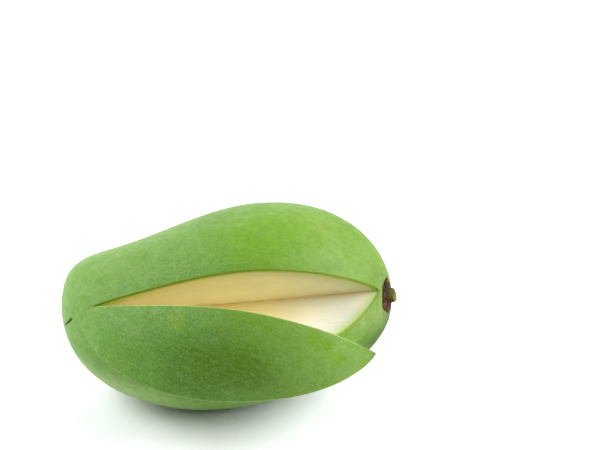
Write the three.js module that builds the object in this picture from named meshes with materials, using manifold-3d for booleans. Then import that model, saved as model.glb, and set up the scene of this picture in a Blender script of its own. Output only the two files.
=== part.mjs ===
// A plump green mango lying on its side, with its stem end towards +X. Two straight knife cuts
// have freed a long wedge from its front. The wedge still touches at its blossom-end tip, and
// has been swung out on the lower cut, so that the pale flesh shows in the notch behind it.
//
// Millimetres and +Z up. The origin is the middle of the small flat spot that the fruit rests on.

import * as THREE from 'three';
import { mergeVertices } from 'three/addons/utils/BufferGeometryUtils.js';
import Module from 'manifold-3d';

const wasm = await Module();
wasm.setup();

// ---------------------------------------------------------------- driving dimensions

// The fruit's form. Each list holds the cosine terms of a smooth curve along the fruit, read at
// an angle that runs from 0 at the blossom end to 180 degrees at the stem end.
const LENGTH = 133.2;
const HALF_WIDTH = [42.3, -0.7, 3.2, 2.2, 1.2, 0.6];
const HALF_THICKNESS = [39.3, -0.5, 2.0, 2.6, 1.0, -0.4];
const BOW_ACROSS_WIDTH = [-8.7, -12.4, -2.2, -0.5];
const BOW_ACROSS_THICKNESS = [2.4, -1.5];

// How the fruit lies: rolled about its length, and its stem end raised a little.
const CENTRE = new THREE.Vector3(1.4, 9.1, 38.4);
const ROLL = THREE.MathUtils.degToRad(25);
const STEM_END_RAISED = THREE.MathUtils.degToRad(4.8);

// The two cuts meet along one straight line inside the fruit, from tip to tip of the wedge.
const TIP_BY_BLOSSOM = new THREE.Vector3(-55.6, -15.2, 40.7);
const TIP_BY_STEM = new THREE.Vector3(63.3, -1.3, 52.7);
const UPPER_CUT = THREE.MathUtils.degToRad(58.8);
const LOWER_CUT = THREE.MathUtils.degToRad(-16.6);

// The wedge is straight at its blossom-end tip, bends over a short stretch by the swing, and
// then curls back a very little along the rest of its length.
const BEND_START = 3;
const BEND_LENGTH = 12;
const SWING = THREE.MathUtils.degToRad(19);
const CURL_BACK_RADIUS = 970;
const GAP = 0.3;

// The knife ran on past the tip, and left a short slit there, in the plane of the upper cut.
// Its outline is in the distances along the wedge and up the cut, from the tip.
const SLIT_WIDTH = 0.5;
const SLIT_OUTLINE = [[0.4, 0.8], [1.5, -1], [-1.4, -5.4], [-4.2, -8], [-7, -6], [-3, 2]];

// The stem end: a small flat seat, which faces up and to the front a little, the corky collar on
// it, and the broken stem in its middle.
const SEAT = new THREE.Vector3(65.4, 5.3, 46.1);
const SEAT_FACES_UP = THREE.MathUtils.degToRad(10);
const SEAT_FACES_FRONT = THREE.MathUtils.degToRad(8.6);
const COLLAR_RADIUS = 7.2;
const COLLAR_HEIGHT = 0.9;
const COLLAR_SHOULDER = 5.8;
const COLLAR_LOBES = 0.5;
const STEM_RADIUS = 2.7;
const STEM_FOOT = 3.5;
const STEM_TIP = 2.4;
const STEM_HEIGHT = 3.1;
const STEM_SLANT = 0.22;

// Half the size of the blocks that trim the fruit, and how far the cuts reach out from their line
// and on past the tips.
const TRIM = 100;
const CUT_REACH = 34;
const PAST_TIPS = 20;

// Fineness of the faceted solids.
const SKIN_STEPS_AROUND = 60;
const SKIN_STEPS_ALONG = 42;
const CUT_STEPS = 32;
const COLLAR_STEPS = 32;

// ---------------------------------------------------------------- solids

function toSolid(geometry) {
  geometry.deleteAttribute('normal');
  geometry.deleteAttribute('uv');
  const merged = mergeVertices(geometry, 1e-4);
  const vertProperties = new Float32Array(merged.getAttribute('position').array);
  const triVerts = new Uint32Array(merged.index.array);
  return new wasm.Manifold(new wasm.Mesh({ numProp: 3, vertProperties, triVerts }));
}

function toGeometry(solid) {
  const { vertProperties, triVerts } = solid.getMesh();
  const geometry = new THREE.BufferGeometry();
  geometry.setAttribute('position', new THREE.BufferAttribute(vertProperties, 3));
  geometry.setIndex(new THREE.BufferAttribute(triVerts, 1));
  return geometry;
}

function movePoints(geometry, move) {
  const position = geometry.getAttribute('position');
  const point = new THREE.Vector3();
  for (let i = 0; i < position.count; i += 1) {
    point.fromBufferAttribute(position, i);
    move(point);
    position.setXYZ(i, point.x, point.y, point.z);
  }
  return geometry;
}

// ---------------------------------------------------------------- the whole fruit

function curveAt(terms, angle) {
  return terms.reduce((sum, term, k) => sum + term * Math.cos(k * angle), 0);
}

// Takes a point of the unit ball, blossom end at -X, to the fruit's skin.
function ontoSkin(point) {
  const angle = Math.acos(THREE.MathUtils.clamp(-point.x, -1, 1));
  const taper = 1 - point.x * point.x;
  point.x *= LENGTH / 2;
  point.y = point.y * curveAt(HALF_WIDTH, angle) + taper * curveAt(BOW_ACROSS_WIDTH, angle);
  point.z = point.z * curveAt(HALF_THICKNESS, angle) + taper * curveAt(BOW_ACROSS_THICKNESS, angle);
}

// Where the fruit lies: from its own axes, length along X, to the part's.
const lie = new THREE.Matrix4()
  .makeTranslation(CENTRE)
  .multiply(new THREE.Matrix4().makeRotationY(-STEM_END_RAISED))
  .multiply(new THREE.Matrix4().makeRotationX(ROLL));

function skinGeometry() {
  const ball = new THREE.SphereGeometry(1, SKIN_STEPS_AROUND, SKIN_STEPS_ALONG).rotateZ(Math.PI / 2);
  return movePoints(ball, ontoSkin).applyMatrix4(lie);
}

// Where the stem sits: from its own axes, X out of the fruit, to the part's.
const sitOnSeat = new THREE.Matrix4()
  .makeTranslation(SEAT)
  .multiply(new THREE.Matrix4().makeRotationZ(-SEAT_FACES_FRONT))
  .multiply(new THREE.Matrix4().makeRotationY(-SEAT_FACES_UP));

function trimmingBlock() {
  return new THREE.BoxGeometry(2 * TRIM, 2 * TRIM, 2 * TRIM);
}

function wholeFruit() {
  const beyondSeat = trimmingBlock().translate(TRIM, 0, 0).applyMatrix4(sitOnSeat);
  const belowGround = trimmingBlock().translate(0, 0, -TRIM);
  return toSolid(skinGeometry()).subtract(toSolid(beyondSeat)).subtract(toSolid(belowGround));
}

// ---------------------------------------------------------------- the cuts

// Axes of the cuts: along the wedge from blossom to stem, level outwards, and up.
const along = new THREE.Vector3().subVectors(TIP_BY_STEM, TIP_BY_BLOSSOM).normalize();
const outwards = new THREE.Vector3().crossVectors(along, new THREE.Vector3(0, 0, 1)).normalize();
const upwards = new THREE.Vector3().crossVectors(outwards, along);

function directionOfCut(angle) {
  return outwards.clone().multiplyScalar(Math.cos(angle)).addScaledVector(upwards, Math.sin(angle));
}

// Everything between the two cuts, moved in from each by the inset.
function betweenCuts(inset) {
  const depth = TIP_BY_STEM.distanceTo(TIP_BY_BLOSSOM) + 2 * PAST_TIPS;
  const middle = (UPPER_CUT + LOWER_CUT) / 2;
  const outTo = (angle, reach) => new THREE.Vector2(Math.sin(angle), Math.cos(angle)).multiplyScalar(reach);
  const corner = outTo(middle, inset / Math.sin((UPPER_CUT - LOWER_CUT) / 2));
  const outside = [UPPER_CUT, middle, LOWER_CUT].map((angle) => outTo(angle, CUT_REACH).add(corner));
  const section = new THREE.Shape([corner, ...outside]);
  const place = new THREE.Matrix4()
    .makeBasis(upwards, outwards, along)
    .setPosition(TIP_BY_BLOSSOM.clone().addScaledVector(along, -PAST_TIPS));
  return new THREE.ExtrudeGeometry(section, { depth, steps: CUT_STEPS, bevelEnabled: false })
    .applyMatrix4(place);
}

function knifeSlit() {
  const outline = new THREE.Shape(SLIT_OUTLINE.map(([x, y]) => new THREE.Vector2(x, y)));
  const blade = new THREE.ExtrudeGeometry(outline, { depth: SLIT_WIDTH, bevelEnabled: false });
  const upTheCut = directionOfCut(UPPER_CUT);
  const across = new THREE.Vector3().crossVectors(along, upTheCut);
  const place = new THREE.Matrix4()
    .makeBasis(along, upTheCut, across)
    .setPosition(TIP_BY_BLOSSOM.clone().addScaledVector(across, -SLIT_WIDTH / 2));
  return toSolid(blade.applyMatrix4(place));
}

// Swings a point of the wedge out in the plane of the lower cut: straight on from the
// blossom-end tip, then along the bend's arc, then along the long flat arc that curls back.
function swingOut(point) {
  const alongFloor = directionOfCut(LOWER_CUT);
  const offFloor = new THREE.Vector3().crossVectors(along, alongFloor);
  const fromTip = point.clone().sub(TIP_BY_BLOSSOM);
  const distance = fromTip.dot(along);
  const side = fromTip.dot(alongFloor);
  const bendRadius = BEND_LENGTH / SWING;
  const bent = THREE.MathUtils.clamp(distance - BEND_START, 0, BEND_LENGTH) / bendRadius;
  const turn = bent - Math.max(distance - BEND_START - BEND_LENGTH, 0) / CURL_BACK_RADIUS;
  const forward = Math.min(distance, BEND_START) + bendRadius * Math.sin(bent)
    + CURL_BACK_RADIUS * (Math.sin(bent) - Math.sin(turn)) - side * Math.sin(turn);
  const out = bendRadius * (1 - Math.cos(bent))
    + CURL_BACK_RADIUS * (Math.cos(turn) - Math.cos(bent)) + side * Math.cos(turn);
  point.copy(TIP_BY_BLOSSOM)
    .addScaledVector(along, forward)
    .addScaledVector(alongFloor, out)
    .addScaledVector(offFloor, fromTip.dot(offFloor));
}

// ---------------------------------------------------------------- the stem

// Collar and stem in one, on the seat. The collar's edge is lobed, and the stem's end is slanted,
// longer below.
function stemGeometry() {
  const profile = [
    [0, 0],
    [COLLAR_RADIUS, 0],
    [COLLAR_RADIUS, COLLAR_HEIGHT / 2],
    [COLLAR_SHOULDER, COLLAR_HEIGHT],
    [STEM_FOOT, COLLAR_HEIGHT],
    [STEM_RADIUS, COLLAR_HEIGHT * 1.5],
    [STEM_TIP, STEM_HEIGHT],
    [0, STEM_HEIGHT],
  ];
  const turned = new THREE.LatheGeometry(profile.map(([r, h]) => new THREE.Vector2(r, h)), COLLAR_STEPS);
  turned.rotateZ(-Math.PI / 2);
  movePoints(turned, (point) => {
    const radius = Math.hypot(point.y, point.z);
    const around = Math.atan2(point.z, point.y);
    if (radius > STEM_FOOT + COLLAR_LOBES) {
      const lobe = 1 + COLLAR_LOBES / COLLAR_RADIUS * (Math.cos(5 * around) + 0.6 * Math.sin(3 * around + 1));
      point.y *= lobe;
      point.z *= lobe;
    }
    if (point.x > (COLLAR_HEIGHT + STEM_HEIGHT) / 2) {
      point.x -= STEM_SLANT * point.z;
    }
  });
  return turned.translate(GAP, 0, 0).applyMatrix4(sitOnSeat);
}

// ---------------------------------------------------------------- the part

const fruitSolid = wholeFruit().subtract(toSolid(betweenCuts(0))).subtract(knifeSlit());

// The wedge is cut after the swing, from the swung skin by the swung cuts, so that it bends finely.
const wedgeSolid = toSolid(movePoints(skinGeometry(), swingOut))
  .intersect(toSolid(movePoints(betweenCuts(GAP), swingOut)));

function piece(name, geometry, color, roughness) {
  const material = new THREE.MeshStandardMaterial({ color, roughness, metalness: 0 });
  const mesh = new THREE.Mesh(geometry, material);
  mesh.name = name;
  return mesh;
}

const group = new THREE.Group();
group.add(piece('fruit', toGeometry(fruitSolid), 0x8fbf5a, 0.5));
group.add(piece('cut_slice', toGeometry(wedgeSolid), 0x84b552, 0.5));
group.add(piece('stem_stub', stemGeometry(), 0x6b4a3c, 0.9));

export default group;
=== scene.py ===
"""A green mango on a pale table, with a wedge cut from its front and swung out on its tip."""
import math

import bmesh
import bpy
from mathutils import Matrix, Vector, noise
from mathutils.bvhtree import BVHTree


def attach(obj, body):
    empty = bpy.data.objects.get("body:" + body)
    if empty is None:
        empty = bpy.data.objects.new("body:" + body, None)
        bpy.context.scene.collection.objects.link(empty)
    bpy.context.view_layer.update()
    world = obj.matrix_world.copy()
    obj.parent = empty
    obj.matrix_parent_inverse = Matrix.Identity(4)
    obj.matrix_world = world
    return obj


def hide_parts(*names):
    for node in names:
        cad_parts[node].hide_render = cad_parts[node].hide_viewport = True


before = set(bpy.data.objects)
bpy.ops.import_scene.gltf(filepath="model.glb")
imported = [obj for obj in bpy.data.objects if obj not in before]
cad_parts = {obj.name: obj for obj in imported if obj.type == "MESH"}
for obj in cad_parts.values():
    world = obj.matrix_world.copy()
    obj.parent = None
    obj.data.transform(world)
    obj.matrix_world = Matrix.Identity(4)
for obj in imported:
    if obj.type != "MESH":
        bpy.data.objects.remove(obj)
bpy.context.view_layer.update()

# Sizes are in millimetres, and meshes in metres. Points closer than SAME_PLACE are one.
MM = 0.001
SAME_PLACE = 0.001

# ------------------------------------------------------------------ sizes

# The fruit's form: cosine terms read at an angle from 0 at the blossom end to 180 degrees at the stem.
LENGTH = 133.2
HALF_WIDTH = (42.3, -0.7, 3.2, 2.2, 1.2, 0.6)
HALF_THICKNESS = (39.3, -0.5, 2.0, 2.6, 1.0, -0.4)
BOW_ACROSS_WIDTH = (-8.7, -12.4, -2.2, -0.5)
BOW_ACROSS_THICKNESS = (2.4, -1.5)
FORM_SEGMENTS = 72
FORM_RINGS = 56
FORM_UNEVENNESS = ((26.0, 0.5), (9.0, 0.12))

# How the fruit lies.
CENTRE = Vector((1.4, 9.1, 38.4))
ROLL = math.radians(25)
STEM_END_RAISED = math.radians(4.8)

# The stem's seat: a small flat, which faces up and to the front a little, and its soft rim.
SEAT = Vector((65.4, 5.3, 46.1))
SEAT_FACES_UP = math.radians(10)
SEAT_FACES_FRONT = math.radians(8.6)
SEAT_RIM = 0.5

# The cuts: the line where they meet, and how steep each is on its way out. The skin, which starts
# as a small ball, has a lengthwise seam on each cut, and so a whole number of steps between them.
TIP_BY_BLOSSOM = Vector((-55.6, -15.2, 40.7))
TIP_BY_STEM = Vector((63.3, -1.3, 52.7))
SKIN_START_RADIUS = 12
SKIN_SEAMS = 188
SKIN_RINGS = 170
SEAM_STEP = 2 * math.pi / SKIN_SEAMS
WEDGE_STEPS = 40
LOWER_CUT = math.radians(-17.4)
UPPER_CUT = LOWER_CUT + WEDGE_STEPS * SEAM_STEP
CUT_FACE_ROWS = 26

# The wedge is straight where it is joined, bends by the swing, and curls back a very little from
# there on. The bend is short along the wedge's top and long along its foot, and changes between
# these two shares of the way up.
BEND_MIDDLE = 9.0
BEND_LENGTH = 4.4
BEND_LENGTH_AT_FOOT = 16.0
BEND_CHANGES = (0.1, 0.9)
SWING = math.radians(19)
CURL_BACK_RADIUS = 970.0

# The hairline under the wedge, and between which places along it the hairline opens.
KERF = 0.04
KERF_OPENS = (4, BEND_MIDDLE + BEND_LENGTH / 2)

# The wedge's free end is drawn out a little over its last part, and its tip, as far as TIP_REACH
# from the point, is drawn on and up to a sharp point.
END_DRAWN_OUT = 0.35
END_PART = (108, 119)
TIP_REACH = 1.0
TIP_DRAWN_ON = 0.33
TIP_DRAWN_UP = 0.7

# The knife ran on past the notch's tip: a short slit down from there, widest at the tip and all
# within SLIT_REACH of it. The last four are shares of its length or width: where it ends, over how
# much of it it deepens, over how much it fades, and how much narrower it gets.
SLIT_END = Vector((-60.5, -9.8, 33.2))
SLIT_INWARDS = Vector((0.77, 0.6, -0.15))
SLIT_REACH = 12
SLIT_HALF_WIDTH = 0.6
SLIT_DEPTH = 1.6
SLIT_RUNS_TO = 1.1
SLIT_DEEPENS = 0.05
SLIT_FADES = 0.5
SLIT_NARROWS = 0.55

# Softening of the knife's edges, and how far from each tip it starts and is full.
EDGE_ROUNDING = 0.4
EDGE_ROUNDING_STEPS = 3
ROUNDING_BY_BLOSSOM = (9.5, 17.0)
ROUNDING_BY_STEM = (0.5, 6.0)
ROUNDING_AT_WEDGE_TIP = (2.0, 10.0)

# Places where the form is a little fuller, or leaner where the height is below 0: the middle, how
# far it reaches, and the height.
SWELLINGS = (((63, 2, 64), 16, 0.5), ((65.5, -6, 42), 12, 0.8), ((59, -15, 37), 10, -0.7))

# By the stem the knife dipped: the notch's lower lip and the wedge's top edge sink there a little.
# Each has its middle, its reach and its depth.
LIP_DIP = (Vector((46, -17, 46)), 17, 1.3)
WEDGE_DIP = (Vector((58, -34, 50)), 13, 0.5)

# Angles, in degrees, under which a piece's faces blend into one surface.
FRUIT_BLENDS = 40
STEM_BLENDS = 50

# The corky collar round the stem, on the seat. Its outline has waves, each a count round it, a
# height as a share of the radius, and a start. Heights are above the seat.
COLLAR_RADIUS = 7.2
COLLAR_SEGMENTS = 132
COLLAR_RINGS = 22
COLLAR_OUTLINE = ((5, 0.07, 1), (3, 0.05, -math.pi / 2), (11, 0.03, -math.pi / 2))
COLLAR_LOBES = 9
LOBES_OUT_OF_PLACE = 0.6
LOBES_DIFFER = 0.8
LOBE_HEIGHT = 0.55
CORK_GRAIN = 0.22
COLLAR_FOOT = -0.6
COLLAR_RIM = -0.25
COLLAR_THICKNESS = 0.45
COLLAR_RISES_BY_STEM = 0.5

# The broken stem in the collar. Its widths are shares of its radius, and it stands a little higher
# on the seat than the collar's middle.
STEM_RADIUS = 2.9
STEM_SEGMENTS = 48
STEM_RINGS = 9
STEM_OUTLINE = ((3, 0.05, 0.5), (7, 0.03, -math.pi / 2))
STEM_OFF_MIDDLE = -0.5
STEM_FOOT = -0.4
STEM_FOOT_WIDTH = 1.25
STEM_END_WIDTH = 0.9
STEM_HEIGHT = 3.4
STEM_SLANT = 0.22
STEM_END_GRAIN = 0.3
STEM_EDGE_WORN = 0.25

# The table, in metres, and how far from its middle it starts and ends glowing plain white.
TABLE_SIZE = 40
TABLE_GLOW = (0.5, 1.4)

# The lamps: a name, the angles round the fruit and above it in degrees, and the power in watts.
# Each is a square. Its size, its distance and the point it faces are in metres.
LAMPS = (("left", 270, 36, 15.4), ("right", 90, 34, 19.4), ("behind", 200, 26, 6.7))
LAMP_SIZE = 0.8
LAMP_DISTANCE = 1.0
LAMPS_AIM = Vector((0, 0, 0.04))

# The camera: the middle of its view, where it looks from, its lens, and how many metres it sees.
VIEW_TARGET = Vector((29.1, 26.7, 63.7))
VIEW_DISTANCE = 650.0
VIEW_AZIMUTH = math.radians(6)
VIEW_ELEVATION = math.radians(30)
VIEW_LENS = 97.5
VIEW_ENDS = 20


# ------------------------------------------------------------------ working by hand

def let_go():
    """Leaves edit mode and drops the selection."""
    if bpy.context.object and bpy.context.object.mode != "OBJECT":
        bpy.ops.object.mode_set(mode="OBJECT")
    bpy.ops.object.select_all(action="DESELECT")


def take(piece):
    """Selects one piece alone and makes it active."""
    let_go()
    piece.select_set(True)
    bpy.context.view_layer.objects.active = piece


def settle(piece):
    """Moves the piece's place, turn and size into its mesh."""
    take(piece)
    bpy.ops.object.transform_apply(location=True, rotation=True, scale=True)


def finish_with(piece, kind, **settings):
    """Adds one modifier and applies it."""
    take(piece)
    modifier = piece.modifiers.new(kind.lower(), kind)
    for name, value in settings.items():
        setattr(modifier, name, value)
    bpy.ops.object.modifier_apply(modifier=modifier.name)


def pick(mesh, kind, wanted):
    """In edit mode, selects the vertices, edges or faces that wanted() is true for."""
    bpy.ops.mesh.select_mode(type={"verts": "VERT", "edges": "EDGE", "faces": "FACE"}[kind])
    bpy.ops.mesh.select_all(action="DESELECT")
    elements = getattr(mesh, kind)
    for element in elements:
        if wanted(element):
            element.select_set(True)
    mesh.select_flush_mode()


# ------------------------------------------------------------------ the whole fruit's form

def smooth_step(value, start, end):
    """0 where the value is start and 1 where it is end, with a smooth change between."""
    part = min(max((value - start) / (end - start), 0), 1)
    return part * part * (3 - 2 * part)


def curve_at(terms, angle):
    """The sum of cosine terms at an angle."""
    return sum(term * math.cos(k * angle) for k, term in enumerate(terms))


def lie():
    """From the fruit's own axes, length along X, to how it lies, in metres."""
    return (
        Matrix.Translation(CENTRE * MM)
        @ Matrix.Rotation(-STEM_END_RAISED, 4, "Y")
        @ Matrix.Rotation(ROLL, 4, "X")
    )


def sit_on_seat():
    """From the seat's own axes, with Z out of the fruit and X down, to the part's, in metres."""
    return (
        Matrix.Translation(SEAT * MM)
        @ Matrix.Rotation(-SEAT_FACES_FRONT, 4, "Z")
        @ Matrix.Rotation(math.pi / 2 - SEAT_FACES_UP, 4, "Y")
    )


def press_seat(form):
    """Flattens the form's end to the stem's seat, with a soft rim."""
    out_of_fruit = sit_on_seat().to_3x3().col[2]
    rim = SEAT_RIM * MM
    for vertex in form.data.vertices:
        height = (vertex.co - SEAT * MM).dot(out_of_fruit)
        if height > -rim:
            soft = -max(rim - height, 0) ** 2 / (4 * rim)
            vertex.co += out_of_fruit * (soft - height)


def mango_form():
    """A ball with its poles along X, and each ring set to the fruit's width, thickness and bow."""
    half_length = LENGTH / 2 * MM
    let_go()
    bpy.ops.mesh.primitive_uv_sphere_add(
        segments=FORM_SEGMENTS, ring_count=FORM_RINGS, radius=half_length, rotation=(0, math.pi / 2, 0)
    )
    form = bpy.context.object
    form.name = "mango_form"
    settle(form)
    bpy.ops.object.mode_set(mode="EDIT")
    mesh = bmesh.from_edit_mesh(form.data)
    for ring in range(1, FORM_RINGS):
        angle = math.pi * ring / FORM_RINGS
        station = -half_length * math.cos(angle)
        pick(mesh, "verts", lambda vertex: abs(vertex.co.x - station) < SAME_PLACE * MM)
        bpy.ops.transform.resize(
            value=(
                1,
                curve_at(HALF_WIDTH, angle) / (LENGTH / 2),
                curve_at(HALF_THICKNESS, angle) / (LENGTH / 2),
            ),
            center_override=(station, 0, 0),
        )
        taper = math.sin(angle) ** 2 * MM
        bpy.ops.transform.translate(
            value=(
                0,
                taper * curve_at(BOW_ACROSS_WIDTH, angle),
                taper * curve_at(BOW_ACROSS_THICKNESS, angle),
            )
        )
    bpy.ops.object.mode_set(mode="OBJECT")
    finish_with(form, "SUBSURF", levels=1, render_levels=1)
    for size, height in FORM_UNEVENNESS:
        swell = bpy.data.textures.new("unevenness", "CLOUDS")
        swell.noise_scale = size * MM
        swell.noise_depth = 0
        finish_with(form, "DISPLACE", texture=swell, texture_coords="LOCAL", strength=height * MM)
    form.matrix_world = lie()
    settle(form)
    outwards_there = [vertex.normal.copy() for vertex in form.data.vertices]
    for middle, reach, height in SWELLINGS:
        for vertex in form.data.vertices:
            near = smooth_step((vertex.co / MM - Vector(middle)).length, reach, 0)
            vertex.co += outwards_there[vertex.index] * (near * height * MM)
    press_seat(form)
    return form


# ------------------------------------------------------------------ the cuts

along = (TIP_BY_STEM - TIP_BY_BLOSSOM).normalized()
outwards = along.cross(Vector((0, 0, 1))).normalized()
upwards = outwards.cross(along)
cut_middle = (TIP_BY_BLOSSOM + TIP_BY_STEM) / 2 * MM


def direction_of_cut(angle):
    """The way out from the cuts' line at an angle from level."""
    return outwards * math.cos(angle) + upwards * math.sin(angle)


def angle_about_cuts(point):
    """The point's angle about the line where the cuts meet, from level outwards."""
    arm = point - cut_middle
    return math.atan2(arm.dot(upwards), arm.dot(outwards))


def wrapped_skin(form):
    """A ball about the middle of the cuts' line, its poles on that line, wrapped out onto the form.

    Each of its lengthwise seams then lies in a plane through the line, and two of them are the cuts.
    What would be below the table is pressed flat: the spot that the fruit rests on.
    """
    let_go()
    bpy.ops.mesh.primitive_uv_sphere_add(
        segments=SKIN_SEAMS, ring_count=SKIN_RINGS, radius=SKIN_START_RADIUS * MM
    )
    skin = bpy.context.object
    skin.name = "mango"
    first_seam = direction_of_cut(LOWER_CUT)
    turn = Matrix((first_seam, along.cross(first_seam), along)).transposed()
    skin.matrix_world = Matrix.Translation(cut_middle) @ turn.to_4x4()
    settle(skin)
    finish_with(
        skin, "SHRINKWRAP", target=form, wrap_method="PROJECT", use_positive_direction=True,
        use_negative_direction=False,
    )
    bpy.ops.object.mode_set(mode="EDIT")
    pick(bmesh.from_edit_mesh(skin.data), "verts", lambda vertex: vertex.co.z < 0)
    bpy.ops.transform.resize(value=(1, 1, 0), center_override=(0, 0, 0))
    bpy.ops.object.mode_set(mode="OBJECT")
    return skin


def is_in_wedge(face):
    """Whether a face of the skin is between the two cuts."""
    return LOWER_CUT < angle_about_cuts(face.calc_center_median()) < UPPER_CUT


def free_the_wedge(skin):
    """Separates the skin between the two cuts, and returns it."""
    take(skin)
    bpy.ops.object.mode_set(mode="EDIT")
    pick(bmesh.from_edit_mesh(skin.data), "faces", is_in_wedge)
    bpy.ops.mesh.separate(type="SELECTED")
    bpy.ops.object.mode_set(mode="OBJECT")
    wedge = next(piece for piece in bpy.context.selected_objects if piece is not skin)
    wedge.name = "wedge"
    return wedge


def ring_of(point):
    """The number of the skin's ring that a point is on, which its angle at the line's middle gives."""
    return round((point - cut_middle).angle(along) * SKIN_RINGS / math.pi)


def line_stations(piece):
    """Each ring's place on the cuts' line: the mean of the places of its two ends there."""
    stations = {}
    mesh = bmesh.new()
    mesh.from_mesh(piece.data)
    for vertex in mesh.verts:
        if vertex.is_boundary:
            place = (vertex.co - cut_middle).dot(along)
            stations.setdefault(ring_of(vertex.co), []).append(place)
    mesh.free()
    return {ring: sum(places) / len(places) for ring, places in stations.items()}


def add_cut_faces(piece, stations):
    """Closes a piece with its two cut faces: each cut edge is extruded to the line, then given rows.

    The faces get the piece's second material.
    """
    take(piece)
    bpy.ops.object.mode_set(mode="EDIT")
    mesh = bmesh.from_edit_mesh(piece.data)
    rungs_from = len(mesh.faces)
    pick(mesh, "edges", lambda edge: edge.is_boundary)
    bpy.ops.mesh.extrude_edges_indiv()
    mesh = bmesh.from_edit_mesh(piece.data)
    for vertex in mesh.verts:
        if vertex.select:
            vertex.co = cut_middle + along * stations[ring_of(vertex.co)]
    mesh.faces.ensure_lookup_table()
    cut_faces = set(mesh.faces[rungs_from:])
    for face in cut_faces:
        face.material_index = 1
    rungs = {
        edge for face in cut_faces for edge in face.edges
        if (edge.verts[0].select != edge.verts[1].select)
    }
    pick(mesh, "edges", lambda edge: edge in rungs)
    bpy.ops.mesh.subdivide(number_cuts=CUT_FACE_ROWS - 1)
    bpy.ops.mesh.select_all(action="SELECT")
    bpy.ops.mesh.remove_doubles(threshold=SAME_PLACE * MM)
    bpy.ops.mesh.normals_make_consistent(inside=False)
    bpy.ops.object.mode_set(mode="OBJECT")


def soften_cut_edges(piece, by_stem):
    """Rounds the edges that the knife left between skin and flesh, less and less towards the tips.

    The rounded band gets the piece's third material.
    """
    mesh = bmesh.new()
    mesh.from_mesh(piece.data)
    weight = mesh.edges.layers.float.new("bevel_weight_edge")
    for edge in mesh.edges:
        if len({face.material_index for face in edge.link_faces}) == 2:
            middle = (edge.verts[0].co + edge.verts[1].co) / 2
            from_blossom = (middle - TIP_BY_BLOSSOM * MM).length / MM
            from_stem = (middle - TIP_BY_STEM * MM).length / MM
            by_blossom = smooth_step(from_blossom, *ROUNDING_BY_BLOSSOM)
            edge[weight] = by_blossom * smooth_step(from_stem, *by_stem)
    mesh.to_mesh(piece.data)
    mesh.free()
    finish_with(
        piece, "BEVEL", width=EDGE_ROUNDING * MM, segments=EDGE_ROUNDING_STEPS,
        limit_method="WEIGHT", use_clamp_overlap=False, material=2,
    )


def press_knife_slit(piece):
    """Presses the skin in along the short slit past the blossom-end tip, and notes how deep it is."""
    run = SLIT_END - TIP_BY_BLOSSOM
    across = run.cross(SLIT_INWARDS).normalized()
    inwards = across.cross(run).normalized()
    under = piece.data.attributes["under_skin"].data
    for vertex in piece.data.vertices:
        arm = vertex.co / MM - TIP_BY_BLOSSOM
        place = arm.dot(run) / run.length_squared
        if 0 < place < SLIT_RUNS_TO and arm.length < SLIT_REACH:
            taper = smooth_step(place, 0, SLIT_DEEPENS)
            taper *= smooth_step(SLIT_RUNS_TO - place, 0, SLIT_FADES)
            off = abs(arm.dot(across)) / (SLIT_HALF_WIDTH * (1 - SLIT_NARROWS * place))
            pressed = SLIT_DEPTH * max(1 - off, 0) * taper * MM
            vertex.co += inwards * pressed
            under[vertex.index].value = pressed


def sink(piece, middle, reach, depth):
    """Lowers the piece's skin and flesh about a place."""
    for vertex in piece.data.vertices:
        near = smooth_step((vertex.co / MM - middle).length, reach, 0)
        vertex.co.z -= near * depth * MM


def remember_as_grown(piece, skin_tree):
    """Keeps, on each vertex, its place before the swing and its depth under the skin, in metres."""
    piece.data.attributes.new("as_grown", "FLOAT_VECTOR", "POINT")
    piece.data.attributes.new("under_skin", "FLOAT", "POINT")
    grown = piece.data.attributes["as_grown"].data
    under = piece.data.attributes["under_skin"].data
    for vertex in piece.data.vertices:
        grown[vertex.index].vector = vertex.co
        under[vertex.index].value = skin_tree.find_nearest(vertex.co)[3]


def swing_out(piece):
    """Swings the wedge out in the plane of the lower cut.

    It goes straight on from its tip, then along the bend's arc, then along the long flat arc back.
    """
    floor_way = direction_of_cut(LOWER_CUT)
    off_floor = floor_way.cross(along)
    for vertex in piece.data.vertices:
        arm = vertex.co / MM - TIP_BY_BLOSSOM
        distance = arm.dot(along)
        side = arm.dot(floor_way)
        height = arm.dot(off_floor)
        way_up = smooth_step(math.atan2(height, side) / (UPPER_CUT - LOWER_CUT), *BEND_CHANGES)
        length = BEND_LENGTH_AT_FOOT + (BEND_LENGTH - BEND_LENGTH_AT_FOOT) * way_up
        start = BEND_MIDDLE - length / 2
        radius = length / SWING
        bent = min(max(distance - start, 0), length) / radius
        turn = bent - max(distance - start - length, 0) / CURL_BACK_RADIUS
        forward = min(distance, start) + radius * math.sin(bent) - side * math.sin(turn)
        forward += CURL_BACK_RADIUS * (math.sin(bent) - math.sin(turn))
        out = radius * (1 - math.cos(bent)) + side * math.cos(turn)
        out += CURL_BACK_RADIUS * (math.cos(turn) - math.cos(bent))
        by_tip = smooth_step((arm - (TIP_BY_STEM - TIP_BY_BLOSSOM)).length, TIP_REACH, 0)
        forward += by_tip * TIP_DRAWN_ON + END_DRAWN_OUT * smooth_step(distance, *END_PART)
        lift = height + KERF * smooth_step(distance, *KERF_OPENS) + by_tip * TIP_DRAWN_UP
        place = TIP_BY_BLOSSOM + along * forward + floor_way * out + off_floor * lift
        vertex.co = place * MM


# ------------------------------------------------------------------ the stem end

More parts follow.
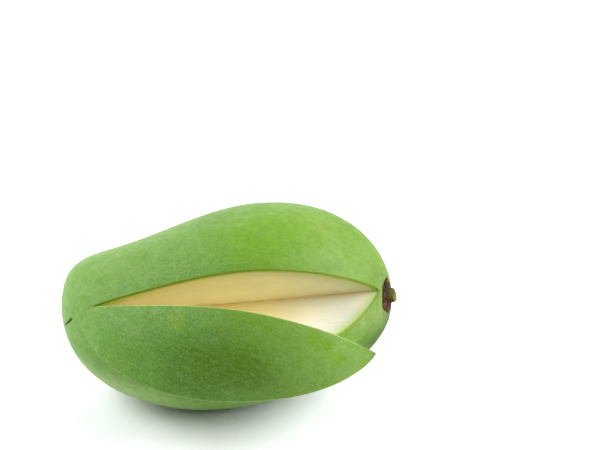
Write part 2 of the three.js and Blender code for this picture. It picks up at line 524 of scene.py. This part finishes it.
def ringed_disc(name, radius, rings, segments):
    """A disc with a rim, its top face inset ring by ring to the middle."""
    let_go()
    bpy.ops.mesh.primitive_cylinder_add(vertices=segments, radius=radius * MM, depth=1 * MM)
    disc = bpy.context.object
    disc.name = name
    bpy.ops.object.mode_set(mode="EDIT")
    mesh = bmesh.from_edit_mesh(disc.data)
    pick(mesh, "faces", lambda face: face.normal.z > 0.9)
    for _ in range(rings):
        bpy.ops.mesh.inset(thickness=radius * MM / (rings + 1))
    bpy.ops.mesh.poke()
    bpy.ops.object.mode_set(mode="OBJECT")
    return disc


def wavy(around, waves):
    """An uneven outline's reach at an angle, about 1."""
    return 1 + sum(height * math.cos(count * around + start) for count, height, start in waves)


def corky_collar():
    """The collar: a thin irregular disc of corky lobes with deep cracks between them."""
    collar = ringed_disc("stem_collar", COLLAR_RADIUS, COLLAR_RINGS, COLLAR_SEGMENTS)
    lobes = []
    for k in range(COLLAR_LOBES):
        off_place = LOBES_OUT_OF_PLACE * noise.noise(Vector((k * 3.7, 1.3, 0)))
        size = 1 + LOBES_DIFFER * noise.noise(Vector((k * 2.1, 7.7, 0)))
        lobes.append((2 * math.pi * (k + off_place) / COLLAR_LOBES, size))
    for vertex in collar.data.vertices:
        place = vertex.co / MM
        share = math.hypot(place.x, place.y) / COLLAR_RADIUS
        around = math.atan2(place.y, place.x)
        reach = wavy(around, COLLAR_OUTLINE)
        swell = 0
        for middle, size in lobes:
            apart = abs((around - middle + math.pi) % (2 * math.pi) - math.pi)
            apart *= COLLAR_LOBES / math.pi
            swell = max(swell, size * math.sqrt(max(0, 1 - min(apart, 1) ** 2)))
        grain = noise.fractal(Vector((place.x, place.y, 4)) * 1.1, 0.7, 2.1, 4)
        height = COLLAR_FOOT
        if place.z > 0:
            ring = smooth_step(share, 0.3, 0.55) * smooth_step(1 - share, 0, 0.22)
            height = COLLAR_RIM + COLLAR_THICKNESS * smooth_step(1 - share, 0, 0.12)
            height += ring * (LOBE_HEIGHT * swell + CORK_GRAIN * grain)
            height += COLLAR_RISES_BY_STEM * smooth_step(0.5 - share, 0, 0.15)
        vertex.co = Vector((place.x * reach, place.y * reach, height)) * MM
    return collar


def broken_stem():
    """The stump of the stem: a short round post, wider at its foot, with a rough slanted end."""
    stump = ringed_disc("stem_stump", STEM_RADIUS, STEM_RINGS, STEM_SEGMENTS)
    for vertex in stump.data.vertices:
        place = vertex.co / MM
        share = math.hypot(place.x, place.y) / STEM_RADIUS
        reach = wavy(math.atan2(place.y, place.x), STEM_OUTLINE)
        if place.z > 0:
            grain = noise.fractal(Vector((place.x, place.y, 9)) * 0.9, 0.8, 2.0, 3)
            height = STEM_HEIGHT + STEM_SLANT * place.x - STEM_EDGE_WORN * share ** 4
            height += STEM_END_GRAIN * grain * smooth_step(1 - share, 0, 0.3)
            reach *= STEM_END_WIDTH
        else:
            height = STEM_FOOT
            reach *= STEM_FOOT_WIDTH
        vertex.co = Vector((place.x * reach + STEM_OFF_MIDDLE, place.y * reach, height)) * MM
    return stump


# ------------------------------------------------------------------ finishes

class Finish:
    """One material, with short ways to add its nodes. Patterns are sized in millimetres."""

    def __init__(self, name):
        self.material = bpy.data.materials.new(name)
        self.material.use_nodes = True
        self.tree = self.material.node_tree
        self.shader = self.tree.nodes["Principled BSDF"]

    def feed(self, socket, value):
        if isinstance(value, bpy.types.NodeSocket):
            self.tree.links.new(value, socket)
        else:
            socket.default_value = value

    def surface(self, **inputs):
        """Sets the shader's own sockets, named with _ for a space."""
        for name, value in inputs.items():
            self.feed(self.shader.inputs[name.replace("_", " ")], value)

    def attribute(self, name, kind="Vector"):
        """What a piece's mesh remembers under a name."""
        node = self.tree.nodes.new("ShaderNodeAttribute")
        node.attribute_name = name
        return node.outputs[kind]

    def scaled(self, vector, factor):
        node = self.tree.nodes.new("ShaderNodeVectorMath")
        node.operation = "SCALE"
        self.feed(node.inputs[0], vector)
        self.feed(node.inputs["Scale"], factor)
        return node.outputs[0]

    def placed(self, vector, shift=(0, 0, 0), stretch=(1, 1, 1)):
        """The place times the stretch, plus the shift."""
        node = self.tree.nodes.new("ShaderNodeMapping")
        self.feed(node.inputs["Vector"], vector)
        node.inputs["Location"].default_value = shift
        node.inputs["Scale"].default_value = stretch
        return node.outputs[0]

    def part(self, vector, axis):
        node = self.tree.nodes.new("ShaderNodeSeparateXYZ")
        self.feed(node.inputs[0], vector)
        return node.outputs[axis]

    def noise(self, vector, size, detail, rough=0.5):
        node = self.tree.nodes.new("ShaderNodeTexNoise")
        self.feed(node.inputs["Vector"], vector)
        node.inputs["Scale"].default_value = 1 / size
        node.inputs["Detail"].default_value = detail
        node.inputs["Roughness"].default_value = rough
        return node.outputs["Fac"]

    def cells(self, vector, size):
        """How far a place is from the middle of its cell."""
        node = self.tree.nodes.new("ShaderNodeTexVoronoi")
        self.feed(node.inputs["Vector"], vector)
        node.inputs["Scale"].default_value = 1 / size
        return node.outputs["Distance"]

    def worked_out(self, operation, first, second):
        node = self.tree.nodes.new("ShaderNodeMath")
        node.operation = operation
        self.feed(node.inputs[0], first)
        self.feed(node.inputs[1], second)
        return node.outputs[0]

    def times(self, first, second):
        return self.worked_out("MULTIPLY", first, second)

    def plus(self, first, second):
        return self.worked_out("ADD", first, second)

    def minus(self, first, second):
        return self.worked_out("SUBTRACT", first, second)

    def ramp(self, value, start, end, low=0.0, high=1.0):
        """A smooth change from low, where the value is start, to high, where it is end."""
        node = self.tree.nodes.new("ShaderNodeMapRange")
        node.interpolation_type = "SMOOTHSTEP"
        self.feed(node.inputs["Value"], value)
        node.inputs["From Min"].default_value = start
        node.inputs["From Max"].default_value = end
        node.inputs["To Min"].default_value = low
        node.inputs["To Max"].default_value = high
        return node.outputs[0]

    def mix(self, share, first, second, blend="MIX"):
        node = self.tree.nodes.new("ShaderNodeMix")
        node.data_type = "RGBA"
        node.blend_type = blend
        self.feed(node.inputs[0], share)
        for index, colour in ((6, first), (7, second)):
            if isinstance(colour, tuple):
                colour = (*colour, 1)
            self.feed(node.inputs[index], colour)
        return node.outputs[2]

    def spot(self, points, centre, reach, stretch=(1, 1, 1)):
        """1 at a place on the piece, fading to 0 at its reach."""
        shift = tuple(-c * s for c, s in zip(centre, stretch))
        node = self.tree.nodes.new("ShaderNodeVectorMath")
        node.operation = "LENGTH"
        self.feed(node.inputs[0], self.placed(points, shift=shift, stretch=stretch))
        return self.ramp(node.outputs["Value"], 0.0, reach, 1.0, 0.0)

    def bump(self, *layers):
        """Relief from pairs of a height from 0 to 1 and its full depth in millimetres."""
        normal = None
        for height, depth in layers:
            node = self.tree.nodes.new("ShaderNodeBump")
            node.inputs["Distance"].default_value = depth * MM
            node.inputs["Strength"].default_value = 1
            self.feed(node.inputs["Height"], height)
            if normal is not None:
                self.feed(node.inputs["Normal"], normal)
            normal = node.outputs[0]
        return normal


# The skin's colours.
GREEN = (0.112, 0.238, 0.026)
DEEP_GREEN = (0.062, 0.15, 0.012)
LEAF_GREEN = (0.085, 0.2, 0.01)
YELLOW_GREEN = (0.162, 0.272, 0.04)
STEM_END_GREEN = (0.15, 0.21, 0.045)
STEM_END_OLIVE = (0.15, 0.175, 0.05)
BELOW_NOTCH_GREEN = (0.208, 0.292, 0.082)
BLOOM_GREEN = (0.144, 0.287, 0.053)
PALE_GREEN = (0.3, 0.44, 0.14)
DOT_GREEN = (0.17, 0.34, 0.05)
DARK_GREEN = (0.035, 0.09, 0.004)
CLEAR_GREEN = (0.095, 0.22, 0.006)
COOL_GREEN = (0.095, 0.22, 0.045)
CREST_GREEN = (0.128, 0.266, 0.012)
CREST_PALE = (0.195, 0.31, 0.057)
CREST_SHADE = (0.08, 0.2, 0.006)
OLIVE_GREEN = (0.07, 0.152, 0.003)
SMUDGE_GREEN = (0.12, 0.25, 0.004)
BLEMISH_TAN = (0.26, 0.2, 0.08)
SLIT_SHADE_GREEN = (0.05, 0.13, 0.006)

# Broad changes of the skin's colour, some of them painted shade, laid on in this order. Each has
# its place, its reach, its stretch, its strength and its colour.
STEM_END_SHADES = (
    ((68, 4, 46), 21, (1, 1, 0.8), 1.0, STEM_END_GREEN),
    ((66, 5, 46), 13, (1, 1, 1), 1.0, STEM_END_OLIVE),
    # Painted shade: darker green low on the stem end, towards its outline.
    ((68, -6, 30), 19, (1, 1, 1), 1.0, DEEP_GREEN),
    ((58.5, -13, 46), 9, (1, 1, 1), 1.0, BELOW_NOTCH_GREEN),
)
BODY_SHADES = (
    ((38, 3, 78), 26, (1, 1, 1), 1.0, CREST_PALE),
    ((4, 9, 77), 16, (0.6, 1, 1), 1.0, CREST_SHADE),
    ((18, -6, 78), 28, (0.85, 1, 1), 1.15, CREST_GREEN),
    # Partly a deeper green patch and partly painted shade: darker over the wedge's front.
    ((9, -36, 52), 37, (0.88, 1, 1.5), 1.0, DEEP_GREEN),
)

# Where the skin is purer, then duller by the stem, then darker by the outline below the collar and
# in two broad places under the stem end, these three being painted shade, then greyer. The last of
# each is what red, green and blue are multiplied by.
TINTS_AND_PAINTED_SHADES = (
    ((-20, -38, 50), 46, (0.8, 1, 1), 1.5, (0.85, 0.96, 0.85)),
    ((65, 1, 55), 15, (1, 1, 1), 1.0, (0.87, 0.85, 0.92)),
    # Painted shade by the outline below the collar; the next two are broad painted shade under the stem
    # end.
    ((67, -0.5, 38), 10, (1, 1, 1), 1.3, (0.84, 0.73, 0.74)),
    ((61, -6, 22), 22, (0.8, 0.72, 0.9), 2.0, (0.74, 0.73, 0.69)),
    ((58, 5, 18), 31, (1, 1, 1), 3.4, (0.65, 0.65, 0.51)),
    ((62, -9.3, 43.5), 8, (1, 1, 1), 1.4, (1.1, 0.98, 1.35)),
)

# Marks with ragged rims, each with its place, reach and stretch: deeper olive patches and brighter
# smudges. The faint tan blemishes have a place and a reach.
MARK_STRENGTH = 1.6
OLIVE_PATCHES = (
    ((6.5, -33.8, 52), 10, (1.1, 1, 0.8)),
    ((21, -32, 53), 16, (0.8, 1, 1.4)),
)
SMUDGES = (
    ((43.5, -15.6, 63), 4.5, (0.8, 1, 1)),
    ((48.1, -15, 60), 4.5, (0.8, 1, 0.8)),
    ((-7, -26.6, 61.5), 6, (0.8, 1, 1)),
    ((52.5, -13.7, 55.5), 4, (0.8, 1, 1)),
    ((64.2, -1.6, 52.7), 2.6, (1, 1, 1)),
)
BLEMISHES = (((-8, -24, 63.5), 6), ((41, 8, 75), 5))

# The specks and pores are strongest about a place on the front, and stronger at the back than on
# top.
DAPPLED = ((-2, -36, 45), 78, (1, 1, 1.25))
DAPPLED_IN_FRONT = 0.48
DAPPLED_BEHIND = (0.08, 0.26)


def shaded(finish, points, colour, shades, blend="MIX"):
    """The colour with broad changes laid on it, each strongest at its place."""
    for place, reach, stretch, strength, shade in shades:
        share = finish.times(finish.spot(points, place, reach, stretch), strength)
        colour = finish.mix(share, colour, shade, blend)
    return colour


def waxy_skin():
    """Green skin, bloomed by the blossom end and yellower by the stem, with marks, specks and pores."""
    finish = Finish("waxy_green_skin")
    points = finish.scaled(finish.attribute("as_grown"), 1 / MM)
    depth = finish.times(finish.attribute("under_skin", "Fac"), 1 / MM)
    x = finish.part(points, "X")
    y = finish.part(points, "Y")
    z = finish.part(points, "Z")
    patches = finish.noise(points, 24, 3, 0.5)
    clouds = finish.noise(finish.placed(points, shift=(7, 3, 5)), 11, 3, 0.55)
    tints = finish.noise(finish.placed(points, shift=(3, 9, 1), stretch=(0.7, 1, 1)), 8, 3, 0.55)
    mottle = finish.noise(points, 3, 2, 0.5)
    streaks = finish.noise(finish.placed(points, stretch=(0.2, 1, 1)), 1.0, 3, 0.6)
    speckle = finish.noise(points, 0.8, 3, 0.65)
    grain = finish.noise(points, 0.7, 3, 0.6)
    pores = finish.ramp(finish.cells(points, 1.15), 0.12, 0.45, 1, 0)

    # The broad colours, from one end to the other and over the top.
    colour = finish.mix(finish.ramp(x, -20, -58), GREEN, BLOOM_GREEN)
    colour = finish.mix(finish.ramp(x, 8, 48, 0, 0.6), colour, YELLOW_GREEN)
    colour = shaded(finish, points, colour, STEM_END_SHADES)
    colour = finish.mix(finish.ramp(patches, 0.38, 0.7, 0, 0.25), colour, YELLOW_GREEN)
    colour = shaded(finish, points, colour, BODY_SHADES)
    colour = finish.mix(finish.ramp(clouds, 0.4, 0.68, 0, 0.3), colour, BLOOM_GREEN)
    colour = finish.mix(finish.ramp(clouds, 0.5, 0.25, 0, 0.3), colour, LEAF_GREEN)
    colour = finish.mix(finish.ramp(tints, 0.5, 0.72, 0, 0.45), colour, CLEAR_GREEN)
    colour = finish.mix(finish.ramp(tints, 0.46, 0.28, 0, 0.45), colour, COOL_GREEN)

    # Paler low down, at the front of the blossom end.
    low_down = finish.times(finish.ramp(z, 30, 16), finish.ramp(x, -34, 4, 1, 0.03))
    low_down = finish.times(low_down, finish.ramp(y, -6, 22, 1, 0))
    colour = finish.mix(low_down, colour, PALE_GREEN)
    # Tints, and painted shade by and under the stem end.
    colour = shaded(finish, points, colour, TINTS_AND_PAINTED_SHADES, "MULTIPLY")

    # The marks.
    for green, marks in ((OLIVE_GREEN, OLIVE_PATCHES), (SMUDGE_GREEN, SMUDGES)):
        for place, reach, stretch in marks:
            ragged = finish.times(finish.spot(points, place, reach, stretch), MARK_STRENGTH)
            ragged = finish.times(ragged, finish.ramp(mottle, 0.3, 0.55))
            colour = finish.mix(ragged, colour, green)
    for place, reach in BLEMISHES:
        faint = finish.ramp(speckle, 0.4, 0.6, 0, 0.2)
        colour = finish.mix(finish.times(finish.spot(points, place, reach), faint), colour, BLEMISH_TAN)

    # The fine mottle, streaks, specks and pores.
    colour = finish.mix(finish.ramp(mottle, 0.4, 0.75, 0, 0.2), colour, DEEP_GREEN)
    colour = finish.mix(finish.ramp(streaks, 0.4, 0.72, 0, 0.12), colour, PALE_GREEN)
    in_front = finish.times(finish.spot(points, *DAPPLED), DAPPLED_IN_FRONT)
    strong = finish.plus(in_front, finish.ramp(y, 12, 34, *DAPPLED_BEHIND))
    dark_specks = finish.times(finish.ramp(speckle, 0.52, 0.34), strong)
    colour = finish.mix(dark_specks, colour, DARK_GREEN)
    pale_specks = finish.times(finish.ramp(speckle, 0.5, 0.66), strong)
    colour = finish.mix(finish.times(pale_specks, 0.5), colour, DOT_GREEN)
    pale_pores = finish.times(finish.times(pores, strong), 0.45)
    colour = finish.mix(pale_pores, colour, DOT_GREEN)
    # Painted shade in the knife's slit: the deeper the skin is pressed in, the darker its green.
    colour = finish.mix(finish.ramp(depth, 0.15, 0.8), colour, SLIT_SHADE_GREEN)

    waxy = finish.ramp(mottle, 0.3, 0.7, 0.52, 0.64)
    duller_by_stem = finish.ramp(x, 48, 64, 0, 0.2)
    finish.surface(
        Base_Color=colour,
        Roughness=finish.plus(waxy, duller_by_stem),
        Normal=finish.bump((grain, 0.03), (streaks, 0.04), (pores, 0.01)),
        Specular_IOR_Level=0.2,
        Sheen_Weight=0.04,
        Sheen_Roughness=0.35,
    )
    return finish.material


def cut_skin_edge(name, dark, light, by_blossom, by_stem, stem_end):
    """The skin's edge where the knife went through it: two uneven greens, with one more by each tip.

    The green by the stem comes in between the two places of stem_end.
    """
    finish = Finish(name)
    points = finish.scaled(finish.attribute("as_grown"), 1 / MM)
    x = finish.part(points, "X")
    uneven = finish.noise(points, 2.5, 3, 0.6)
    colour = finish.mix(finish.ramp(uneven, 0.35, 0.65), dark, light)
    colour = finish.mix(finish.ramp(x, 0, 40, 0.5, 0), colour, by_blossom)
    colour = finish.mix(finish.ramp(x, *stem_end, 0, 0.8), colour, by_stem)
    finish.surface(Base_Color=colour, Roughness=0.5, Specular_IOR_Level=0.3)
    return finish.material


def notch_lip():
    """The notch's lips: a thin deep green edge."""
    return cut_skin_edge(
        "notch_lip",
        dark=(0.13, 0.25, 0.006),
        light=(0.15, 0.27, 0.01),
        by_blossom=(0.14, 0.25, 0.005),
        by_stem=(0.18, 0.29, 0.02),
        stem_end=(15, 35),
    )


def wedge_rim():
    """The wedge's edges: a thin pale green line, partly the cut skin and partly a painted highlight."""
    return cut_skin_edge(
        "wedge_rim",
        dark=(0.26, 0.39, 0.085),
        light=(0.37, 0.47, 0.16),
        by_blossom=(0.22, 0.36, 0.07),
        by_stem=(0.25, 0.42, 0.07),
        stem_end=(44, 54),
    )


# The flesh's colours: those of the low cut face, then those of the high one, then those of both.
# Each OUTER is what red, green and blue are multiplied by towards the skin.
LOW_PALE = (0.73, 0.71, 0.59)
LOW_CREAM = (0.85, 0.71, 0.3)
LOW_OUTER = (0.86, 0.88, 0.97)
LOW_LIME = (0.47, 0.59, 0.23)
LOW_LINE = (0.22, 0.39, 0.04)
HIGH_PALE = (0.6, 0.57, 0.3)
HIGH_CREAM = (0.82, 0.76, 0.47)
HIGH_PEACH = (0.91, 0.8, 0.46)
HIGH_OUTER = (0.88, 0.9, 0.84)
HIGH_TAN = (0.68, 0.61, 0.25)
HIGH_TAN_BY_STEM = (0.49, 0.5, 0.22)
HIGH_TAN_BY_BLOSSOM = (0.54, 0.66, 0.14)
HIGH_OLIVE = (0.42, 0.46, 0.09)
HIGH_OLIVE_BY_BLOSSOM = (0.5, 0.66, 0.1)
HIGH_LINE = (0.15, 0.25, 0.005)
HIGH_LINE_BY_STEM = (0.2, 0.33, 0.03)
CLOUDY_TAN = (0.8, 0.65, 0.38)
FIBRE_CREAM = (0.84, 0.8, 0.6)
CREASE_SHADE_TAN = (0.75, 0.55, 0.2)

# How much the line where the cuts meet rises with each step along X, and its height where X is 0.
CREASE_SLOPE = (TIP_BY_STEM.z - TIP_BY_BLOSSOM.z) / (TIP_BY_STEM.x - TIP_BY_BLOSSOM.x)
CREASE_HEIGHT = TIP_BY_BLOSSOM.z - CREASE_SLOPE * TIP_BY_BLOSSOM.x


def pale_flesh():
    """Cut flesh: a green line under the skin, lime or olive and tan inside it, then cream.

    The low face is paler by the stem and yellower towards the blossom end. The high face is
    peachy towards the blossom end. These colours of each face are partly the flesh's own and partly
    painted shade and painted warm bounce light. Both are a little browner where they meet, which is
    painted shade in the crease.
    """
    finish = Finish("pale_flesh")
    points = finish.scaled(finish.attribute("as_grown"), 1 / MM)
    depth = finish.times(finish.attribute("under_skin", "Fac"), 1 / MM)
    x = finish.part(points, "X")
    y = finish.part(points, "Y")
    z = finish.part(points, "Z")
    fibres = finish.noise(finish.placed(points, stretch=(0.06, 1, 1)), 1.3, 4, 0.6)
    clouds = finish.noise(finish.placed(points, stretch=(0.4, 1, 1)), 12, 3, 0.5)
    grain = finish.noise(points, 0.9, 3)
    crease = finish.plus(finish.times(x, CREASE_SLOPE), CREASE_HEIGHT)
    over_crease = finish.minus(z, crease)
    is_high = finish.ramp(over_crease, -0.5, 0.7)

    # The two faces, and what lies across both.
    low = finish.mix(finish.ramp(x, 50, 8), LOW_PALE, LOW_CREAM)
    low = finish.mix(finish.ramp(y, -9, -18), low, LOW_OUTER, "MULTIPLY")
    high = finish.mix(finish.ramp(x, 60, 20), HIGH_PALE, HIGH_CREAM)
    high = finish.mix(finish.ramp(x, 10, -40), high, HIGH_PEACH)
    high = finish.mix(finish.ramp(over_crease, 5, 14), high, HIGH_OUTER, "MULTIPLY")
    # Each face's colours are partly painted shade and painted warm bounce light.
    colour = finish.mix(is_high, low, high)
    colour = finish.mix(finish.ramp(clouds, 0.38, 0.7, 0, 0.3), colour, CLOUDY_TAN)
    colour = finish.mix(finish.ramp(fibres, 0.42, 0.72, 0, 0.3), colour, FIBRE_CREAM)
    # Painted shade: tan in the crease where the two faces meet.
    crease_shade = finish.times(finish.ramp(over_crease, 2.2, 0), finish.ramp(over_crease, -0.8, 0))
    colour = finish.mix(finish.times(crease_shade, 0.5), colour, CREASE_SHADE_TAN)

    # The bands under the skin, each nearer to it than the one before. On the high face they are
    # narrower towards the blossom end.
    rim_low = finish.mix(finish.ramp(depth, 0.8, 5.4, 0.85, 0), colour, LOW_LIME)
    rim_low = finish.mix(finish.ramp(depth, 0.2, 1.6, 1, 0), rim_low, LOW_LINE)
    tan = finish.mix(finish.ramp(x, -5, 35), HIGH_TAN, HIGH_TAN_BY_STEM)
    tan = finish.mix(finish.ramp(x, -28, -40), tan, HIGH_TAN_BY_BLOSSOM)
    olive = finish.mix(finish.ramp(x, -20, -38), HIGH_OLIVE, HIGH_OLIVE_BY_BLOSSOM)
    line = finish.mix(finish.ramp(x, 25, 55), HIGH_LINE, HIGH_LINE_BY_STEM)
    narrowed = finish.times(depth, finish.ramp(x, 5, -35, 1, 1.35))
    rim_high = finish.mix(finish.ramp(narrowed, 2.0, 8.0, 0.95, 0), colour, tan)
    rim_high = finish.mix(finish.ramp(narrowed, 1.2, 3.2, 0.9, 0), rim_high, olive)
    rim_high = finish.mix(finish.ramp(narrowed, 0.6, 1.9, 1, 0), rim_high, line)
    colour = finish.mix(is_high, rim_low, rim_high)

    finish.surface(
        Base_Color=colour,
        Roughness=finish.ramp(fibres, 0.3, 0.7, 0.45, 0.6),
        Normal=finish.bump((fibres, 0.08), (grain, 0.03)),
        Specular_IOR_Level=0.25,
        Subsurface_Weight=0.25,
        Subsurface_Radius=(1.0, 0.8, 0.4),
        Subsurface_Scale=2 * MM,
    )
    return finish.material


# The colours of the collar and of the broken stem.
CORK_BROWN = (0.05, 0.03, 0.017)
CORK_RED_BROWN = (0.105, 0.044, 0.026)
CORK_RIM = (0.085, 0.055, 0.03)
CORK_CRACK_SHADE = (0.008, 0.006, 0.003)
CORK_PIT = (0.01, 0.006, 0.003)
CORK_FLECK = (0.26, 0.19, 0.14)
STEM_OLIVE = (0.045, 0.04, 0.005)
STEM_YELLOW_OLIVE = (0.1, 0.09, 0.014)
STEM_FOOT_BROWN = (0.055, 0.038, 0.017)
STEM_END_PALE = (0.19, 0.21, 0.06)


def dry_cork():
    """Dry purplish-brown cork, nearly black in its pits, with pale flecks and painted shade in its
    cracks.
    """
    finish = Finish("dry_cork")
    points = finish.scaled(finish.attribute("as_grown"), 1 / MM)
    height = finish.part(points, "Z")
    grain = finish.noise(points, 0.9, 4, 0.65)
    blotch = finish.noise(points, 3.2, 2, 0.5)
    inside_rim = finish.spot(points, (0, 0, 0), COLLAR_RADIUS * 1.15, (1, 1, 0))
    # Painted shade: the low cracks between the lobes, inside the rim, go nearly black.
    cracks = finish.times(finish.ramp(height, 0.75, 0.2, 0, 0.9), finish.ramp(inside_rim, 0.06, 0.2))
    colour = finish.mix(finish.ramp(blotch, 0.35, 0.65), CORK_BROWN, CORK_RED_BROWN)
    colour = finish.mix(finish.ramp(inside_rim, 0.16, 0.02), colour, CORK_RIM)
    colour = finish.mix(cracks, colour, CORK_CRACK_SHADE)
    colour = finish.mix(finish.ramp(grain, 0.36, 0.5, 0.9, 0), colour, CORK_PIT)
    colour = finish.mix(finish.ramp(grain, 0.6, 0.68, 0, 0.6), colour, CORK_FLECK)
    finish.surface(
        Base_Color=colour,
        Roughness=finish.ramp(grain, 0.3, 0.7, 0.75, 0.95),
        Normal=finish.bump((grain, 0.25)),
        Specular_IOR_Level=0.06,
    )
    return finish.material


def broken_stem_wood():
    """Olive stem, brown as cork at its foot, with a paler fibrous end."""
    finish = Finish("broken_stem_wood")
    points = finish.scaled(finish.attribute("as_grown"), 1 / MM)
    height = finish.part(points, "Z")
    grain = finish.noise(points, 0.7, 4, 0.6)
    colour = finish.mix(finish.ramp(grain, 0.35, 0.65), STEM_OLIVE, STEM_YELLOW_OLIVE)
    colour = finish.mix(finish.ramp(height, 2.8, 1.2), colour, STEM_FOOT_BROWN)
    colour = finish.mix(finish.ramp(height, 3.1, 3.8, 0, 0.7), colour, STEM_END_PALE)
    finish.surface(
        Base_Color=colour,
        Roughness=finish.ramp(grain, 0.3, 0.7, 0.6, 0.85),
        Normal=finish.bump((grain, 0.15)),
        Specular_IOR_Level=0.08,
    )
    return finish.material


# ------------------------------------------------------------------ the pieces

def wear(piece, *materials):
    """Gives the piece its materials, in this order."""
    piece.data.materials.clear()
    for material in materials:
        piece.data.materials.append(material)


def smooth(piece, angle):
    """Blends faces that meet at less than the angle, in degrees."""
    take(piece)
    bpy.ops.object.shade_smooth_by_angle(angle=math.radians(angle))


def fruit_and_wedge():
    """The fruit with its notch, and the wedge swung out of it."""
    skin = waxy_skin()
    flesh = pale_flesh()
    form = mango_form()
    skin_tree = BVHTree.FromPolygons(
        [vertex.co.copy() for vertex in form.data.vertices],
        [face.vertices[:] for face in form.data.polygons],
    )
    fruit = wrapped_skin(form)
    wedge = free_the_wedge(fruit)
    stations = line_stations(fruit)
    for piece, edge, rounding in (
        (fruit, notch_lip(), ROUNDING_BY_STEM),
        (wedge, wedge_rim(), ROUNDING_AT_WEDGE_TIP),
    ):
        wear(piece, skin, flesh, edge)
        add_cut_faces(piece, stations)
        soften_cut_edges(piece, rounding)
        remember_as_grown(piece, skin_tree)
    press_knife_slit(fruit)
    sink(fruit, *LIP_DIP)
    swing_out(wedge)
    sink(wedge, *WEDGE_DIP)
    for piece in (fruit, wedge):
        smooth(piece, FRUIT_BLENDS)
    bpy.data.objects.remove(form)
    return fruit, wedge


def stem():
    """The collar and the broken stem, set on the seat as one piece.

    Each vertex keeps its place on the seat's own axes, which the cork and the wood follow.
    """
    collar = corky_collar()
    stump = broken_stem()
    for piece, material in ((collar, dry_cork()), (stump, broken_stem_wood())):
        wear(piece, material)
        grown = piece.data.attributes.new("as_grown", "FLOAT_VECTOR", "POINT")
        for vertex in piece.data.vertices:
            grown.data[vertex.index].vector = vertex.co
        piece.matrix_world = sit_on_seat()
        settle(piece)
    take(collar)
    stump.select_set(True)
    bpy.ops.object.join()
    collar.name = "stem"
    smooth(collar, STEM_BLENDS)
    return collar


# ------------------------------------------------------------------ the table, the light and the camera

def pale_table():
    """A plain pale table, which glows plain white from some way off."""
    let_go()
    bpy.ops.mesh.primitive_plane_add(size=TABLE_SIZE)
    table = bpy.context.object
    table.name = "table"
    finish = Finish("pale_table")
    reach = finish.tree.nodes.new("ShaderNodeVectorMath")
    reach.operation = "LENGTH"
    finish.feed(reach.inputs[0], finish.tree.nodes.new("ShaderNodeTexCoord").outputs["Object"])
    finish.surface(
        Base_Color=(0.87, 0.89, 0.93, 1),
        Roughness=0.6,
        Specular_IOR_Level=0.1,
        Emission_Color=(1, 1, 1, 1),
        Emission_Strength=finish.ramp(reach.outputs["Value"], *TABLE_GLOW),
    )
    wear(table, finish.material)


def looking_from(azimuth, elevation, distance, target):
    """A place to look from and the turn that looks at the target."""
    back = Vector((
        math.sin(azimuth) * math.cos(elevation),
        -math.cos(azimuth) * math.cos(elevation),
        math.sin(elevation),
    ))
    return target + back * distance, back.to_track_quat("Z", "Y").to_euler()


def soft_light(name, azimuth, elevation, power):
    """A square lamp that faces the fruit."""
    lamp = bpy.data.lights.new(name, "AREA")
    lamp.size = LAMP_SIZE
    lamp.energy = power
    light = bpy.data.objects.new(name, lamp)
    light.location, light.rotation_euler = looking_from(
        math.radians(azimuth), math.radians(elevation), LAMP_DISTANCE, LAMPS_AIM
    )
    bpy.context.collection.objects.link(light)


def studio():
    """White surroundings that light nothing, the lamps, and the camera."""
    world = bpy.data.worlds.new("studio")
    bpy.context.scene.world = world
    world.use_nodes = True
    world.node_tree.nodes["Background"].inputs["Color"].default_value = (1, 1, 1, 1)
    world.cycles_visibility.diffuse = False
    world.cycles_visibility.glossy = False
    for lamp in LAMPS:
        soft_light(*lamp)
    bpy.context.scene.view_settings.view_transform = "Standard"
    lens = bpy.data.cameras.new("camera")
    lens.lens = VIEW_LENS
    lens.clip_end = VIEW_ENDS
    camera = bpy.data.objects.new("camera", lens)
    camera.location, camera.rotation_euler = looking_from(
        VIEW_AZIMUTH, VIEW_ELEVATION, VIEW_DISTANCE * MM, VIEW_TARGET * MM
    )
    bpy.context.collection.objects.link(camera)
    bpy.context.scene.camera = camera


fruit, wedge = fruit_and_wedge()
for piece, node, slot in (
    (fruit, "fruit", "green_skin"),
    (wedge, "cut_slice", "slice_skin"),
    (stem(), "stem_stub", "stem"),
):
    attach(piece, "root")
    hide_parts(node)
pale_table()
studio()
